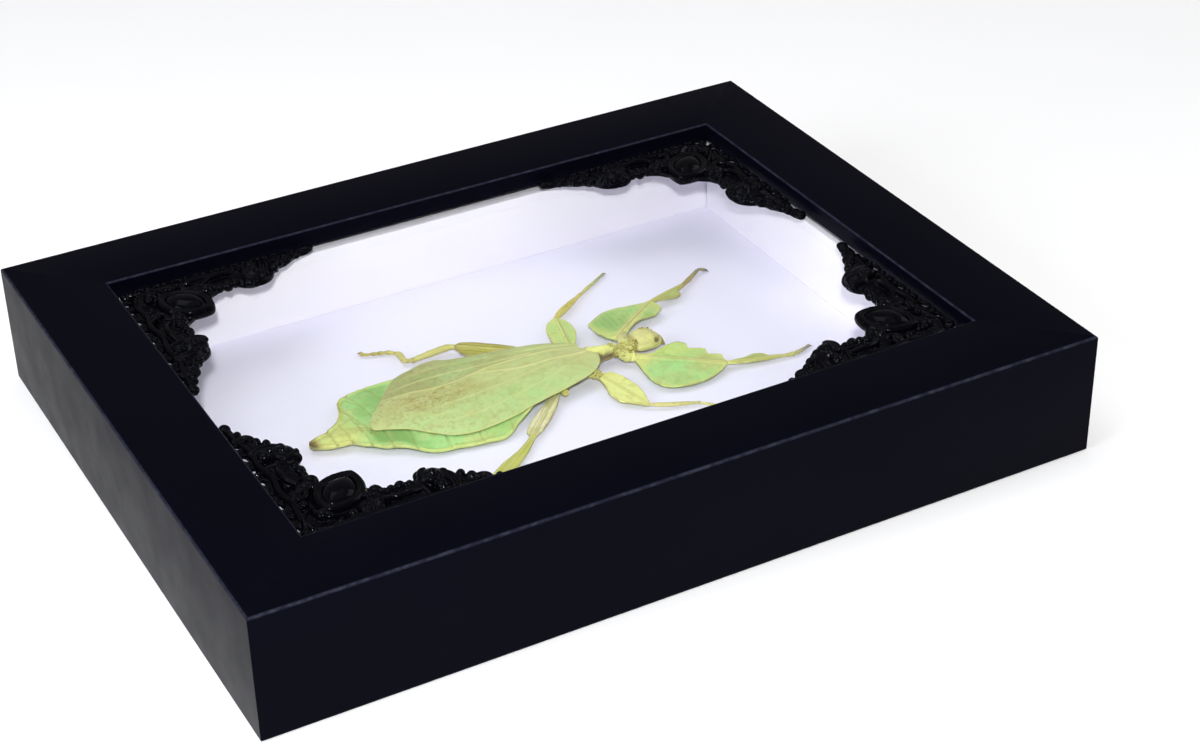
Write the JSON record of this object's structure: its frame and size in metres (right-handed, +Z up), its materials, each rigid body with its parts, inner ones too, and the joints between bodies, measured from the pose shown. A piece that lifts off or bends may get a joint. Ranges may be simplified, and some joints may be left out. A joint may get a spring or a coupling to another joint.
{
  "type": "framed leaf insect specimen",
  "caption": "Dried leaf insect laid out on a white card under glass in a black shadow-box frame with cast baroque corner ornaments, lying on its back.",
  "frame": {"origin": "bottom centre of the frame, at the level of the rails' undersides", "axes": "+X along the frame's long side, from the insect's tail to its head; +Y along the short side, to the insect's left; +Z up out of the glass"},
  "size_m": [0.221, 0.17, 0.033],
  "materials": {
    "frame_black": "matte black painted moulding",
    "glass": "clear flat glass",
    "liner_white": "matt white foam board",
    "card_white": "matt white card",
    "board_brown": "bare hardboard",
    "tab_steel": "plain steel",
    "ornament_black": "gloss black cast resin",
    "eye_brown": "dried, slightly glossy",
    "tegmen_green": "dry, satin, veined",
    "leaf_green": "dry, satin, veined",
    "leaf_yellow_green": "dry, satin",
    "abdomen_green": "dry, satin, segmented",
    "body_yellow": "dry, granular",
    "limb_olive": "dry, satin"
  },
  "bodies": {
    "root": {"abdomen_front": "abdomen_green", "abdomen_middle": "abdomen_green", "abdomen_rear": "abdomen_green", "abdomen_tip": "abdomen_green", "antenna_left": "limb_olive", "antenna_right": "limb_olive", "back_board": "board_brown", "base_card": "card_white", "coxa_left_fore": "limb_olive", "coxa_left_hind": "limb_olive", "coxa_left_middle": "limb_olive", "coxa_right_fore": "limb_olive", "coxa_right_hind": "limb_olive", "coxa_right_middle": "limb_olive", "eye_left": "eye_brown", "eye_right": "eye_brown", "femur_left_fore": "leaf_green", "femur_left_hind": "limb_olive", "femur_left_middle": "leaf_yellow_green", "femur_right_fore": "leaf_green", "femur_right_hind": "limb_olive", "femur_right_middle": "leaf_yellow_green", "glass_pane": "glass", "head": "body_yellow", "liner_back": "liner_white", "liner_front": "liner_white", "liner_left": "liner_white", "liner_right": "liner_white", "mesothorax": "body_yellow", "metathorax": "body_yellow", "ornament_back_left": "ornament_black", "ornament_back_right": "ornament_black", "ornament_front_left": "ornament_black", "ornament_front_right": "ornament_black", "prothorax": "body_yellow", "rail_back": "frame_black", "rail_front": "frame_black", "rail_left": "frame_black", "rail_right": "frame_black", "tab_back_a": "tab_steel", "tab_back_b": "tab_steel", "tab_front_a": "tab_steel", "tab_front_b": "tab_steel", "tarsus_left_fore": "limb_olive", "tarsus_left_hind": "limb_olive", "tarsus_left_middle": "limb_olive", "tarsus_right_fore": "limb_olive", "tarsus_right_hind": "limb_olive", "tarsus_right_middle": "limb_olive", "tegmen_left": "tegmen_green", "tegmen_right": "tegmen_green", "tibia_left_fore": "limb_olive", "tibia_left_hind": "limb_olive", "tibia_left_middle": "limb_olive", "tibia_right_fore": "limb_olive", "tibia_right_hind": "limb_olive", "tibia_right_middle": "limb_olive"}
  },
  "joints": []
}
